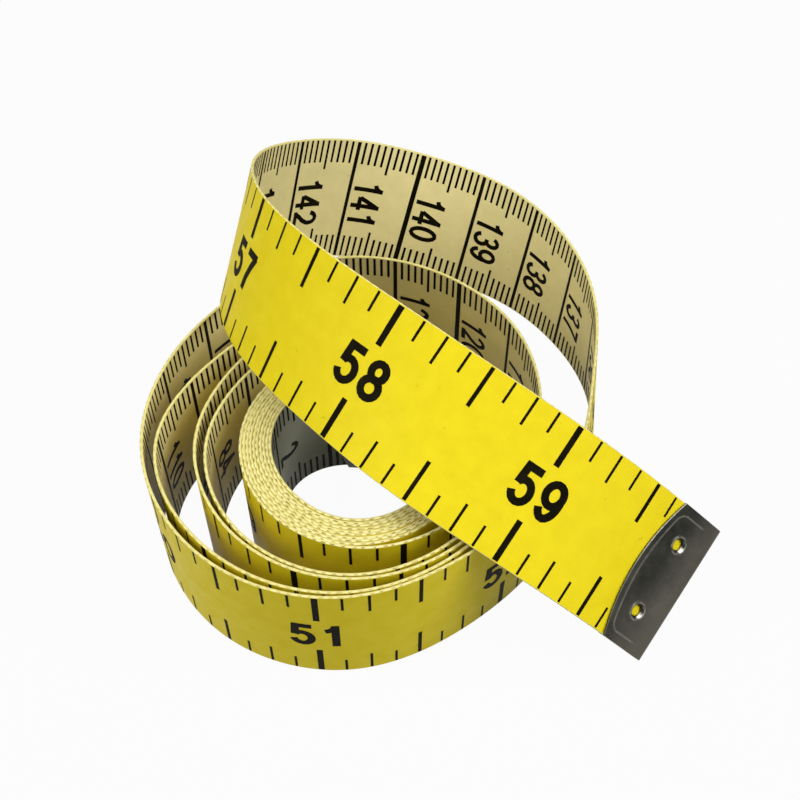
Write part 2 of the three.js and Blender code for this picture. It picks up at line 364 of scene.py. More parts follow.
def route_stations():
    """Points of the tape's middle with the lean of its upper edge, from the zero end to the outer end."""
    points = []

    def stand(angle, radius):
        points.append((radius * math.cos(angle), radius * math.sin(angle), TAPE_WIDTH / 2, 0, 0))

    station_step = 2 * math.pi / TURN_STATIONS
    even_stations = np.arange(FIRST_EVEN_STATION, round(TIGHT_TURNS_END / station_step) + 1)
    for angle in ZERO_END_STATIONS + list(even_stations * station_step):
        stand(angle, oval(tight_radius(angle), angle))
    faces = [oval(CORE_RADIUS, station * station_step) for station in range(TURN_STATIONS)]
    for turn, gaps in enumerate(TURN_GAPS):
        for station, gap in enumerate(gaps):
            radius = faces[station] + gap * MM + LAYER / 2
            faces[station] = radius + LAYER / 2
            on_the_core = turn == 0 and station < TURN_STATIONS - 1
            if not on_the_core:
                stand(station * station_step, radius)
    stand(0, faces[0] + LET_GO_GAP + LAYER / 2)
    let_go_x, let_go_y = points[-1][:2]
    for x, y, height, lean_x, lean_y in FREE_ROUTE:
        points.append((let_go_x + x * MM, let_go_y + y * MM, height * TAPE_WIDTH, lean_x, lean_y))
    return np.array(points)


def smooth_route(points, step):
    """Points on natural cubic splines over chord length, about step apart."""
    spans = np.linalg.norm(np.diff(points[:, :3], axis=0), axis=1)
    knots = np.concatenate([[0], np.cumsum(spans)])
    slopes = np.diff(points, axis=0) / spans[:, None]
    count = len(points)
    system = np.eye(count)
    pulls = np.zeros_like(points)
    for i in range(1, count - 1):
        system[i, i - 1:i + 2] = spans[i - 1], 2 * (spans[i - 1] + spans[i]), spans[i]
        pulls[i] = 6 * (slopes[i] - slopes[i - 1])
    bends = np.linalg.solve(system, pulls)
    places = np.linspace(0, knots[-1], math.ceil(knots[-1] / step) + 1)
    low = np.clip(np.searchsorted(knots, places, side="right") - 1, 0, count - 2)
    span = spans[low][:, None]
    b = (places - knots[low])[:, None] / span
    a = 1 - b
    cubic = ((a ** 3 - a) * bends[low] + (b ** 3 - b) * bends[low + 1]) * span ** 2 / 6
    return a * points[low] + b * points[low + 1] + cubic


def lengths_along(places):
    return np.concatenate([[0], np.cumsum(np.linalg.norm(np.diff(places[:, :3], axis=0), axis=1))])


def unit_vectors(vectors):
    return vectors / np.linalg.norm(vectors, axis=1)[:, None]


def tape_route():
    """Evenly spaced middles of the tape, with its edge-to-edge and outward directions, in the row frame."""
    places = smooth_route(route_stations(), ROUTE_STEP / 2)
    lengths = lengths_along(places)
    even = np.linspace(0, lengths[-1], round(lengths[-1] / ROUTE_STEP) + 1)
    values = np.stack([np.interp(even, lengths, column) for column in places.T], 1)
    middles = values[:, :3]
    along = unit_vectors(np.gradient(middles, axis=0))
    leaning = np.column_stack([values[:, 3:], np.ones(len(values))])
    across = unit_vectors(leaning - along * (leaning * along).sum(1)[:, None])
    outward = np.cross(along, across)
    on_the_table = 1 - eased(even, even[-1] - LEAVES_TABLE_FROM, even[-1] - LEFT_TABLE_BY)
    rise = sum(1 + np.sin(2 * math.pi * even / wave) for wave in SETTLE_WAVES)
    middles[:, 2] += SETTLE * rise * on_the_table
    low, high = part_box("tape_core")
    middles += [(low[0] + high[0]) / 2, (low[1] + high[1]) / 2, low[2]]
    return middles, across, outward


def route_object(middles, across, outward):
    steps = [(i, i + 1) for i in range(len(middles) - 1)]
    mesh = new_mesh("tape_route", middles.tolist(), [], steps)
    for name, vectors in (("across", across), ("outward", outward)):
        set_attribute(mesh, name, "FLOAT_VECTOR", "POINT", vectors, field="vector")
    return new_object("tape_route", mesh)


middles, across, outward = tape_route()
route_length = lengths_along(middles)[-1]
route = route_object(middles, across, outward)
# Where the scale's zero would be, counted back along the route from the outer end
outer_zero = route_length - TAPE_LENGTH + PRINT_SHIFT
pieces_meet = outer_zero + PIECES_MEET


# Camera at the photograph's angle, light and floor

def place_camera(scene):
    core_low, core_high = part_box("tape_core")
    core_middle = (Vector(core_low) + Vector(core_high)) / 2
    target = Vector((core_middle.x + CAMERA_LOOKS_AT[0], core_middle.y + CAMERA_LOOKS_AT[1], 0))
    back = Vector((0, -math.cos(CAMERA_DOWN), math.sin(CAMERA_DOWN)))
    camera = bpy.data.objects.new("camera", bpy.data.cameras.new("camera"))
    camera.data.sensor_fit = "HORIZONTAL"
    camera.data.sensor_width = CAMERA_FRAME
    camera.data.lens = CAMERA_LENS
    camera.data.clip_start = 10 * MM
    camera.location = target + back * CAMERA_DISTANCE
    camera.rotation_euler = (-back).to_track_quat("-Z", "Y").to_euler()
    scene.collection.objects.link(camera)
    scene.camera = camera
    scene.view_settings.view_transform = "Standard"


def place_softboxes(scene):
    for name, (place, width, depth, power) in SOFTBOXES.items():
        lamp = bpy.data.lights.new(name, "AREA")
        lamp.shape = "ELLIPSE"
        lamp.size = width
        lamp.size_y = depth
        lamp.energy = power
        obj = bpy.data.objects.new(name, lamp)
        obj.location = place
        obj.rotation_euler = (LIT_POINT - Vector(place)).to_track_quat("-Z", "Y").to_euler()
        scene.collection.objects.link(obj)


def seen_directly(tree):
    """One where the camera looks, also by a reflection, and nought where light falls on something dull."""
    path = add_node(tree, "ShaderNodeLightPath").outputs
    seen = maths(tree, "MAXIMUM", path["Is Camera Ray"], path["Is Glossy Ray"])
    return maths(tree, "MAXIMUM", seen, path["Is Transmission Ray"])


def light_the_room(scene):
    scene.world = bpy.data.worlds.new("pale_room")
    tree = cleared_tree(scene.world)
    strength = ranged(tree, seen_directly(tree), ROOM_LIGHT, 1.0, 0.0, 1.0)
    room = fed_node(tree, "ShaderNodeBackground", {"Color": ROOM_COLOUR, "Strength": strength})[0]
    fed_node(tree, "ShaderNodeOutputWorld", {"Surface": room})


def floor_material():
    """Pale floor that shows near white and keeps the soft shadow of the coil."""
    material = bpy.data.materials.new("pale_floor")
    tree = cleared_tree(material)
    diffuse = fed_node(tree, "ShaderNodeBsdfDiffuse", {"Color": FLOOR_COLOUR})[0]
    white = add_node(tree, "ShaderNodeEmission").outputs[0]
    share = product(tree, seen_directly(tree), FLOOR_WHITE)
    mixed = fed_node(tree, "ShaderNodeMixShader", {0: share, 1: diffuse, 2: white})[0]
    fed_node(tree, "ShaderNodeOutputMaterial", {"Surface": mixed})
    return material


def lay_the_floor():
    corners = [(x * FLOOR_HALF, y * FLOOR_HALF, 0) for x, y in ((-1, -1), (1, -1), (1, 1), (-1, 1))]
    floor = new_object("floor", new_mesh("floor", corners, [(0, 1, 2, 3)]))
    floor.location.z = -FLOOR_BELOW
    floor.data.materials.append(floor_material())


place_camera(bpy.context.scene)
place_softboxes(bpy.context.scene)
light_the_room(bpy.context.scene)
lay_the_floor()


# Shared surface effects

def woven_coat_group():
    """Thin coating over a plain weave, on the flat coordinates: height of the threads, mottling, stains."""
    tree, given, out = new_group(
        "woven_coat", "ShaderNodeTree",
        [("Flat", "Vector"), ("Thread Pitch", "Float"), ("Mottle Size", "Float")],
        [("Threads", "Float"), ("Mottle", "Float"), ("Stains", "Float")])
    turns = maths(tree, "DIVIDE", 2 * math.pi, given["Thread Pitch"])
    flat = separated(tree, given["Flat"])
    warp = maths(tree, "SINE", product(tree, flat["X"], turns))
    weft = maths(tree, "SINE", product(tree, flat["Y"], turns))
    feed(tree, out["Threads"], maths(tree, "MULTIPLY_ADD", product(tree, warp, weft), 0.5, 0.5))
    mottle_scale = maths(tree, "DIVIDE", 1.0, given["Mottle Size"])
    feed(tree, out["Mottle"], noise(tree, given["Flat"], mottle_scale, detail=4.0, roughness=0.6))
    spots = noise(tree, given["Flat"], 0.9, detail=2.0)
    feed(tree, out["Stains"], ranged(tree, spots, 0.0, 1.0, from_low=0.70, from_high=0.80))
    return tree


def handling_wear_group():
    """Uneven rubbing and dullness on Object coordinates: a soft patchy mask and fine scratches."""
    tree, given, out = new_group(
        "handling_wear", "ShaderNodeTree",
        [("Place", "Vector"), ("Patch Size", "Float"), ("Scratch Size", "Float")],
        [("Patches", "Float"), ("Scratches", "Float")])
    patch_scale = maths(tree, "DIVIDE", 1.0, given["Patch Size"])
    feed(tree, out["Patches"], noise(tree, given["Place"], patch_scale, detail=5.0, roughness=0.65))
    stretched = fed_node(tree, "ShaderNodeMapping", {
        "Vector": given["Place"], "Scale": (1.0, 0.08, 1.0), "Rotation": (0.3, 0.5, 0.8)})[0]
    scratch_scale = maths(tree, "DIVIDE", 1.0, given["Scratch Size"])
    feed(tree, out["Scratches"], noise(tree, stretched, scratch_scale, detail=3.0))
    return tree


woven_coat = woven_coat_group()
handling_wear = handling_wear_group()


# Materials

def new_material(name):
    material = bpy.data.materials.new(name)
    material.use_nodes = True
    tree = material.node_tree
    return material, tree, tree.nodes["Principled BSDF"].inputs


def group_node(tree, group, **values):
    inputs = {label.replace("_", " "): value for label, value in values.items()}
    return fed_node(tree, "ShaderNodeGroup", inputs, node_tree=group)


def flat_millimetres(tree):
    return add_node(tree, "ShaderNodeUVMap", uv_map="flat").outputs[0]


def object_place(tree):
    return add_node(tree, "ShaderNodeTexCoord").outputs["Object"]


def surface_value(tree, name):
    return add_node(tree, "ShaderNodeAttribute", attribute_name=name).outputs["Fac"]


def mixed_colour(tree, share, first, second):
    return fed_node(tree, "ShaderNodeMix", {"Factor": share, 6: first, 7: second}, data_type="RGBA")[2]


def bumped(tree, shader, height, strength, distance):
    bump = {"Height": height, "Strength": strength, "Distance": distance}
    feed(tree, shader["Normal"], fed_node(tree, "ShaderNodeBump", bump)[0])


def coated_cloth(name, clean, deep, stain, zero_end_grey):
    """A printed face of the tape: smooth coating in which the weave just shows, greyed near its zero end."""
    material, tree, shader = new_material(name)
    flat = flat_millimetres(tree)
    coat = group_node(tree, woven_coat, Flat=flat, Thread_Pitch=THREAD_PITCH, Mottle_Size=2.6)
    colour = mixed_colour(tree, ranged(tree, coat["Mottle"], 0.0, 1.0), clean, deep)
    colour = mixed_colour(tree, product(tree, coat["Stains"], 0.5), colour, stain)
    # Darker and greyer towards the zero end, over the stretch that lies in the bore
    greyed = ranged(tree, separated(tree, flat)["X"], 1.0, 0.0, GREYED_UP_TO, CLEAN_FROM)
    feed(tree, shader["Base Color"], mixed_colour(tree, greyed, colour, zero_end_grey))
    feed(tree, shader["Roughness"], ranged(tree, coat["Mottle"], 0.42, 0.56))
    shader["Specular IOR Level"].default_value = 0.11
    bumped(tree, shader, coat["Threads"], strength=0.12, distance=0.02 * MM)
    return material


def cut_edge():
    """The tape's cut edge: the ends of the weft, light and dark by turns, between the coats of both faces,
    with a painted highlight on the light ends and painted shade between them.
    """
    clean_thread = (0.88, 0.79, 0.30, 1)
    deep_thread = (0.74, 0.65, 0.20, 1)
    lit_thread = (0.94, 0.88, 0.50, 1)
    shade_between_threads = (0.22, 0.17, 0.04, 1)
    material, tree, shader = new_material("cut_edge")
    flat = flat_millimetres(tree)
    along = separated(tree, flat)["X"]
    wander = noise(tree, flat, 1.1, detail=3.0)
    place = maths(tree, "MULTIPLY_ADD", wander, 1.2, maths(tree, "DIVIDE", along, WEFT_PITCH))
    wave = maths(tree, "SINE", product(tree, place, 2 * math.pi))
    from_middle = maths(tree, "ABSOLUTE", maths(tree, "SUBTRACT", surface_value(tree, "out_share"), 0.55))
    woven = ranged(tree, from_middle, 1.0, 0.0, 0.16, 0.42)
    woven = product(tree, woven, ranged(tree, along, 1.0, 0.5, WEFT_BOLD_UP_TO, WEFT_FAINT_FROM))
    # The dark dips between weft ends carry painted shade, and the lit ends a painted highlight
    dip = product(tree, ranged(tree, wave, 0.0, 1.0, 0.0, 0.8), woven)
    dip = product(tree, dip, ranged(tree, wander, 0.45, 1.0, 0.35, 0.65))
    lit = product(tree, ranged(tree, wave, 1.0, 0.0, -0.8, 0.1), woven)
    coat = group_node(tree, woven_coat, Flat=flat, Thread_Pitch=WEFT_PITCH, Mottle_Size=0.7)
    pale = mixed_colour(tree, ranged(tree, coat["Mottle"], 0.0, 1.0), clean_thread, deep_thread)
    pale = mixed_colour(tree, lit, pale, lit_thread)
    feed(tree, shader["Base Color"], mixed_colour(tree, dip, pale, shade_between_threads))
    feed(tree, shader["Roughness"], ranged(tree, coat["Mottle"], 0.55, 0.75))
    shader["Specular IOR Level"].default_value = 0.2
    bumped(tree, shader, maths(tree, "SUBTRACT", 1.0, dip), strength=0.5, distance=0.04 * MM)
    return material


def printing_ink():
    """Black ink, a little uneven where the coating has been handled."""
    full_ink = (0.004, 0.003, 0.001, 1)
    thin_ink = (0.016, 0.013, 0.005, 1)
    material, tree, shader = new_material("printing_ink")
    place = object_place(tree)
    wear = group_node(tree, handling_wear, Place=place, Patch_Size=4 * MM, Scratch_Size=0.5 * MM)
    worn = ranged(tree, wear["Patches"], 0.0, 0.7, 0.45, 0.8)
    feed(tree, shader["Base Color"], mixed_colour(tree, worn, full_ink, thin_ink))
    feed(tree, shader["Roughness"], ranged(tree, wear["Scratches"], 0.45, 0.62))
    shader["Specular IOR Level"].default_value = 0.03
    return material


def darkened_metal():
    """Dull dark sheet metal, greyer towards its worn fold and towards one side by a painted reflection, dark
    in the crimps' walls by painted shade, rubbed bright on its raised line and rims, with a painted highlight
    on its cut edge and a painted glint in each crimp.
    """
    dark_metal = (0.021, 0.022, 0.019, 1)
    greyer_metal = (0.097, 0.090, 0.073, 1)
    bare_metal_and_highlight = (0.58, 0.56, 0.48, 1)
    material, tree, shader = new_material("darkened_metal")
    place = object_place(tree)
    wear = group_node(tree, handling_wear, Place=place, Patch_Size=4 * MM, Scratch_Size=0.35 * MM)
    # This share holds wear, a painted reflection towards one side and painted shade in the crimps' walls
    worn = maths(tree, "ADD", surface_value(tree, "worn"), ranged(tree, wear["Patches"], -0.22, 0.22))
    colour = mixed_colour(tree, ranged(tree, worn, 0.0, 1.0, 0.0, 1.0), dark_metal, greyer_metal)
    scratched = ranged(tree, wear["Scratches"], 0.45, 1.0)
    # Bright where rubbed, and bright from a painted highlight on the cut edge and a painted glint in each
    # crimp
    bright = product(tree, surface_value(tree, "rubbed"), scratched)
    feed(tree, shader["Base Color"], mixed_colour(tree, bright, colour, bare_metal_and_highlight))
    feed(tree, shader["Roughness"], ranged(tree, wear["Patches"], 0.30, 0.44))
    shader["Metallic"].default_value = 1.0
    bumped(tree, shader, wear["Scratches"], strength=0.12, distance=0.02 * MM)
    return material


inch_face = coated_cloth(
    "yellow_inch_face", clean=(0.86, 0.70, 0.012, 1), deep=(0.80, 0.64, 0.009, 1),
    stain=(0.55, 0.40, 0.01, 1), zero_end_grey=(0.66, 0.54, 0.03, 1))
centimetre_face = coated_cloth(
    "cream_centimetre_face", clean=(0.90, 0.80, 0.40, 1), deep=(0.83, 0.73, 0.34, 1),
    stain=(0.50, 0.42, 0.18, 1), zero_end_grey=(0.42, 0.42, 0.32, 1))
edge = cut_edge()
ink = printing_ink()
metal = darkened_metal()


# Node trees that wind flat pieces along the route

def winding_group():
    """Moves flat geometry onto the route: x is the length along it, y goes across the tape, z out of it."""
    tree, given, out = new_group(
        "wind_along_route", "GeometryNodeTree",
        [("Flat Piece", "Geometry"), ("Route", "Object")], [("Wound Piece", "Geometry")])
    line = fed_node(tree, "GeometryNodeObjectInfo", {"Object": given["Route"]}, transform_space="ORIGINAL")
    curve = fed_node(tree, "GeometryNodeMeshToCurve", {"Mesh": line["Geometry"]})[0]
    flat = separated(tree, add_node(tree, "GeometryNodeInputPosition").outputs[0])

    def sampled(name):
        kind = "FLOAT_VECTOR"
        value = fed_node(tree, "GeometryNodeInputNamedAttribute", {"Name": name}, data_type=kind)["Attribute"]
        inputs = {"Curves": curve, "Value": value, "Length": flat["X"]}
        return fed_node(tree, "GeometryNodeSampleCurve", inputs, data_type=kind, mode="LENGTH")

    edge_to_edge = sampled("across")
    place = summed(tree, scaled(tree, edge_to_edge["Value"], flat["Y"]), edge_to_edge["Position"])
    place = summed(tree, scaled(tree, sampled("outward")["Value"], flat["Z"]), place)
    moved = fed_node(tree, "GeometryNodeSetPosition", {"Geometry": given["Flat Piece"], "Position": place})
    feed(tree, out["Wound Piece"], moved[0])
    return tree


winding = winding_group()


def printed(tree, instances, given):
    """Winds a scale's marks or digits along the route and gives them their ink."""
    flat = fed_node(tree, "GeometryNodeRealizeInstances", {0: instances})[0]
    inputs = {"Flat Piece": flat, "Route": given["Route"]}
    wound = fed_node(tree, "GeometryNodeGroup", inputs, node_tree=winding)[0]
    return fed_node(tree, "GeometryNodeSetMaterial", {"Geometry": wound, "Material": given["Finish"]})[0]


def points_at(tree, count, place):
    return fed_node(tree, "GeometryNodePoints", {"Count": count, "Position": place})[0]


def equals(tree, first, second):
    return fed_node(tree, "FunctionNodeCompare", {2: first, 3: second}, data_type="INT", operation="EQUAL")[0]


def whole_maths(tree, operation, *values):
    return maths(tree, operation, *values, kind="FunctionNodeIntegerMath")


def chosen(tree, condition, if_false, if_true):
    inputs = {"Switch": condition, "False": if_false, "True": if_true}
    return fed_node(tree, "GeometryNodeSwitch", inputs, input_type="FLOAT")[0]


MARK_KINDS = ("Number", "Half", "Quarter", "Least")


def mark_sizes(measure, *sizes):
    """Lengths or widths of the kinds of marks, under the names that the tree of marks has for them."""
    return {f"{kind} {measure}": size for kind, size in zip(MARK_KINDS, sizes)}


def marks_tree():
    """The marks of one scale along both edges of the tape, longer and bolder by their place in the scale."""
    sizes = [f"{kind} {measure}" for measure in ("Length", "Width") for kind in MARK_KINDS]
    floats = ["Zero", "Step", "Height", "Turn", "Bold Width"] + sizes
    tree, given, out = new_group(
        "scale_marks", "GeometryNodeTree",
        [("Blank", "Geometry"), ("Route", "Object"), ("Finish", "Material")]
        + [(name, "Int") for name in ("First", "Count", "Marks Per Number", "Numbers Per Bold")]
        + [(name, "Float") for name in floats],
        [("Marks", "Geometry")])
    mark = whole_maths(tree, "ADD", add_node(tree, "GeometryNodeInputIndex").outputs[0], given["First"])
    per_number = given["Marks Per Number"]
    within = whole_maths(tree, "MODULO", mark, per_number)
    is_number = equals(tree, within, 0)
    is_half = equals(tree, whole_maths(tree, "MULTIPLY", within, 2), per_number)
    quarter_rest = whole_maths(tree, "MODULO", whole_maths(tree, "MULTIPLY", within, 4), per_number)
    is_quarter = equals(tree, quarter_rest, 0)
    per_bold = whole_maths(tree, "MULTIPLY", per_number, given["Numbers Per Bold"])
    bold_rest = whole_maths(tree, "MODULO", mark, per_bold)
    is_bold = equals(tree, bold_rest, 0)

    def by_kind(measure, number_size):
        size = chosen(tree, is_quarter, given["Least " + measure], given["Quarter " + measure])
        size = chosen(tree, is_half, size, given["Half " + measure])
        return chosen(tree, is_number, size, number_size)

    length = by_kind("Length", given["Number Length"])
    width = by_kind("Width", chosen(tree, is_bold, given["Number Width"], given["Bold Width"]))
    along = maths(tree, "MULTIPLY_ADD", mark, given["Step"], given["Zero"])
    middle = maths(tree, "SUBTRACT", TAPE_WIDTH / 2 - INK_INSET, product(tree, length, 0.5))
    unit_mark = fed_node(tree, "GeometryNodeMeshGrid", {
        "Size X": 1.0, "Size Y": 1.0, "Vertices X": 3, "Vertices Y": 5})["Mesh"]
    joined = add_node(tree, "GeometryNodeJoinGeometry")
    for side in (-1, 1):
        place = vector(tree, along, product(tree, middle, side), given["Height"])
        marks = fed_node(tree, "GeometryNodeInstanceOnPoints", {
            "Points": points_at(tree, given["Count"], place), "Instance": unit_mark,
            "Rotation": vector(tree, given["Turn"], 0.0, 0.0), "Scale": vector(tree, width, length, 1.0)})
        feed(tree, joined.inputs[0], marks[0])
    feed(tree, out["Marks"], printed(tree, joined.outputs[0], given))
    return tree


def numbers_tree():
    """The numbers of one scale: up to three digits each, picked from a set of ten by whole-number sums."""
    tree, given, out = new_group(
        "scale_numbers", "GeometryNodeTree",
        [("Blank", "Geometry"), ("Route", "Object"), ("Digits", "Collection"), ("Finish", "Material")]
        + [(name, "Int") for name in ("First", "Count")]
        + [(name, "Float") for name in ("Zero", "Step", "Height", "Digit Pitch")]
        + [(name, "Vector") for name in ("Turn", "Reading Direction", "Beside Line")],
        [("Numbers", "Geometry")])
    places = 3
    index = add_node(tree, "GeometryNodeInputIndex").outputs[0]
    number = whole_maths(tree, "ADD", whole_maths(tree, "DIVIDE", index, places), given["First"])
    place = whole_maths(tree, "MODULO", index, places)
    has_tens = maths(tree, "GREATER_THAN", number, 9.5)
    has_hundreds = maths(tree, "GREATER_THAN", number, 99.5)
    extra = maths(tree, "ADD", has_tens, has_hundreds)
    from_last = maths(tree, "SUBTRACT", place, places - 1.0)
    shift = maths(tree, "MULTIPLY_ADD", extra, 0.5, from_last)
    shift = product(tree, shift, given["Digit Pitch"])
    along = maths(tree, "MULTIPLY_ADD", number, given["Step"], given["Zero"])
    line = vector(tree, along, 0.0, given["Height"])
    spot = summed(tree, line, given["Beside Line"])
    spot = summed(tree, spot, scaled(tree, given["Reading Direction"], shift))
    is_hundreds = equals(tree, place, 0)
    is_tens = equals(tree, place, 1)
    unit = chosen(tree, is_hundreds, chosen(tree, is_tens, 1.0, 10.0), 100.0)
    digit = whole_maths(tree, "MODULO", whole_maths(tree, "DIVIDE", number, unit), 10)
    least = product(tree, unit, maths(tree, "GREATER_THAN", unit, 1.5))
    shown = maths(tree, "GREATER_THAN", maths(tree, "ADD", number, 0.5), least)
    points = points_at(tree, whole_maths(tree, "MULTIPLY", given["Count"], places), spot)
    shapes = fed_node(tree, "GeometryNodeCollectionInfo", {
        "Collection": given["Digits"], "Separate Children": True, "Reset Children": True})[0]
    digits = fed_node(tree, "GeometryNodeInstanceOnPoints", {
        "Points": points, "Selection": shown, "Instance": shapes, "Pick Instance": True,
        "Instance Index": digit, "Rotation": given["Turn"]})[0]
    feed(tree, out["Numbers"], printed(tree, digits, given))
    return tree


# The tape: two strips that meet end to end

def tape_section():
    """Points round the tape's cross-section, and the side that each stretch between them belongs to."""
    half_width = TAPE_WIDTH / 2
    half_thickness = TAPE_THICKNESS / 2
    arc = np.radians(EDGE_ARC_DEGREES)
    upper = [(half_width - EDGE_ROUNDING * (1 - math.cos(a)), half_thickness * math.sin(a)) for a in arc]
    face_reach = upper[0][0]
    down = [(face_reach * share, -half_thickness) for share in np.linspace(1, -1, FACE_COLUMNS + 1)[1:-1]]
    half = upper + down
    edge_stretches = [EDGE_SIDE] * (len(upper) - 1)
    sides = edge_stretches + [CENTIMETRE_SIDE] * FACE_COLUMNS + edge_stretches + [INCH_SIDE] * FACE_COLUMNS
    return half + [(-y, -z) for y, z in half], sides


def flat_strip(name, start, end):
    """A closed strip of tape, with a finish for each side, its flat coordinates and its sharp edges."""
    section, section_sides = tape_section()
    corners = len(section)
    rows = math.ceil((end - start) / STRIP_STEP) + 1
    lengths = np.linspace(start, end, rows)
    points = np.array([(x, y, z) for x in lengths for y, z in section])
    faces = []
    for row in range(rows - 1):
        for corner in range(corners):
            following = (corner + 1) % corners
            a = row * corners
            b = a + corners
            faces.append((a + corner, a + following, b + following, b + corner))
    last = (rows - 1) * corners
    faces.append(tuple(range(corners))[::-1])
    faces.append(tuple(range(last, last + corners)))
    sides = section_sides * (rows - 1) + [EDGE_SIDE, EDGE_SIDE]
    mesh = new_mesh(name, points.tolist(), faces)
    mesh.shade_smooth()
    for material in (inch_face, centimetre_face, edge):
        mesh.materials.append(material)
    set_attribute(mesh, "material_index", "INT", "FACE", sides)
    set_attribute(mesh, "out_share", "FLOAT", "POINT", points[:, 2] / (TAPE_THICKNESS / 2))
    corner_points = np.empty(len(mesh.loops), dtype=np.int32)
    mesh.loops.foreach_get("vertex_index", corner_points)
    flat_map = points[corner_points][:, :2] / MM
    mesh.uv_layers.new(name="flat").uv.foreach_set("vector", flat_map.astype(np.float32).ravel())
    face_ends = [corner for corner in range(corners) if section_sides[corner] != section_sides[corner - 1]]
    row, corner = np.divmod([line.vertices[:] for line in mesh.edges], corners)
    along = (corner[:, 0] == corner[:, 1]) & np.isin(corner[:, 0], face_ends)
    at_end = (row[:, 0] == row[:, 1]) & np.isin(row[:, 0], [0, rows - 1])
    set_attribute(mesh, "sharp_edge", "BOOLEAN", "EDGE", along | at_end)
    return mesh


def tape_piece(name, start, end):
    return made_plain(through_tree(new_object(name, flat_strip(name, start, end)), winding, {"Route": route}))


tape_coil = tape_piece("tape_coil", TAPE_END_INSET, pieces_meet)
tape_free = tape_piece("tape_free", pieces_meet, route_length - TAPE_END_INSET)


# The metal ends

def crimp_profile(distance):
    """Height of the sheet round a crimp: a rim raised round a hole whose edge is pressed down to the tape."""
    distances = [CRIMP_HOLE / MM, 0.84, 0.92, CRIMP_WALL / MM, 1.08, 1.18, 1.36]
    heights = [-0.17, -0.10, 0.0, 0.09, 0.115, 0.06, 0]
    return np.interp(distance / MM, distances, heights) * MM


def border_line(length, side, reach):
    """A fine line that follows the arched edge and turns down both sides, fading towards the fold."""
    from_arch = reach - length - BORDER_FROM_ARCH
    from_side = TAPE_WIDTH / 2 - np.abs(side) - BORDER_FROM_SIDE
    in_corner = (from_arch < BORDER_CORNER) & (from_side < BORDER_CORNER)
    rounded = BORDER_CORNER - np.hypot(BORDER_CORNER - from_arch, BORDER_CORNER - from_side)
    inside = np.where(in_corner, rounded, np.minimum(from_arch, from_side))
    line = eased(1 - np.abs(inside) / (BORDER_WIDTH / 2), 0, 1)
    return line * eased(length, BORDER_STARTS, BORDER_FULL_FROM)


def rubbed_and_highlight_share(length, width, reach, lift, border, painted_glint):
    """How far the metal is bright: rubbed on its border and crimps' rims, with a painted glint in the crimps
    and a painted highlight on its cut edge, most to the right.
    """
    rim = RIM_RUBBED * eased(lift, 0.085 * MM, 0.112 * MM) * (border == 0)
    # A painted highlight along the cut edge, brighter towards the right
    to_the_right = eased(width, -3 * MM, 5 * MM)
    cut_highlight = CUT_HIGHLIGHT_LEFT + (CUT_HIGHLIGHT_RIGHT - CUT_HIGHLIGHT_LEFT) * to_the_right
    cut = cut_highlight * (1 - eased(reach - length, 0.02 * MM, 0.12 * MM))
    return np.maximum.reduce([BORDER_RUBBED * border, rim, painted_glint, cut])


def wear_and_painted_light_share(length, width, crimp_wall_shade):
    """How far the metal is greyed: worn most at the fold, greyer towards one side by a painted reflection,
    and kept dark in the crimps' walls by painted shade.
    """
    by_the_fold = WORN_AT_FOLD * (1 - eased(length, 0.5 * MM, 7 * MM))
    # A painted reflection greys the metal towards one side, and painted shade keeps the crimps' walls dark
    painted_reflection = -REFLECTION_TO_ONE_SIDE * width / TAPE_WIDTH
    return by_the_fold + painted_reflection + WORN_ALL_OVER - crimp_wall_shade


def metal_leaf(side, reach, fold_line):
    """One leaf from its arched edge to the fold: its grid of distances, the sheet's lift, and its crimps."""
    length = fold_line + (reach - fold_line) * np.linspace(1, 0, LEAF_ROWS + 1)[:, None]
    width = np.repeat(side[None], LEAF_ROWS + 1, 0)
    lift = np.zeros_like(length)
    in_hole = np.zeros_like(length, dtype=bool)
    crimp_wall_shade = np.zeros_like(length)
    painted_glint = np.zeros_like(length)
    row, column = np.indices(length.shape)
    for crimp_side in (-CRIMP_SPACING / 2, CRIMP_SPACING / 2):
        from_crimp = np.hypot(length - CRIMP_FROM_FOLD, width - crimp_side)
        middle = np.unravel_index(np.argmin(from_crimp), from_crimp.shape)
        along = length - length[middle]
        aside = width - width[middle]
        radius = np.maximum(np.hypot(along, aside), 1e-9)
        cells = np.maximum(np.abs(row - middle[0]), np.abs(column - middle[1]))
        in_hole |= cells < CRIMP_HOLE_CELLS
        near = cells < CRIMP_CELLS
        share_out = np.clip((cells - CRIMP_HOLE_CELLS) / (CRIMP_CELLS - CRIMP_HOLE_CELLS), 0, 1)
        ring = CRIMP_HOLE + (CRIMP_REACH - CRIMP_HOLE) * share_out
        drawn = ring + (radius - ring) * share_out ** 2
        leaning = CRIMP_LEAN * (1 - eased(drawn, CRIMP_HOLE, CRIMP_WALL))
        length = np.where(near, CRIMP_FROM_FOLD + along * drawn / radius + leaning, length)
        width = np.where(near, crimp_side + aside * drawn / radius, width)
        lift = lift + np.where(near, crimp_profile(drawn), 0)
        wall = near & (drawn < CRIMP_WALL)
        # A painted glint on one side of each crimp's wall
        towards_glint = (GLINT_SIDE[0] * along + GLINT_SIDE[1] * aside) / radius
        painted_glint = np.where(wall, eased(towards_glint, 0.82, 0.98), painted_glint)
        # Marks the crimp's wall for painted shade
        crimp_wall_shade = np.where(wall, 1.0, crimp_wall_shade)
    return length, width, lift, in_hole, crimp_wall_shade, painted_glint


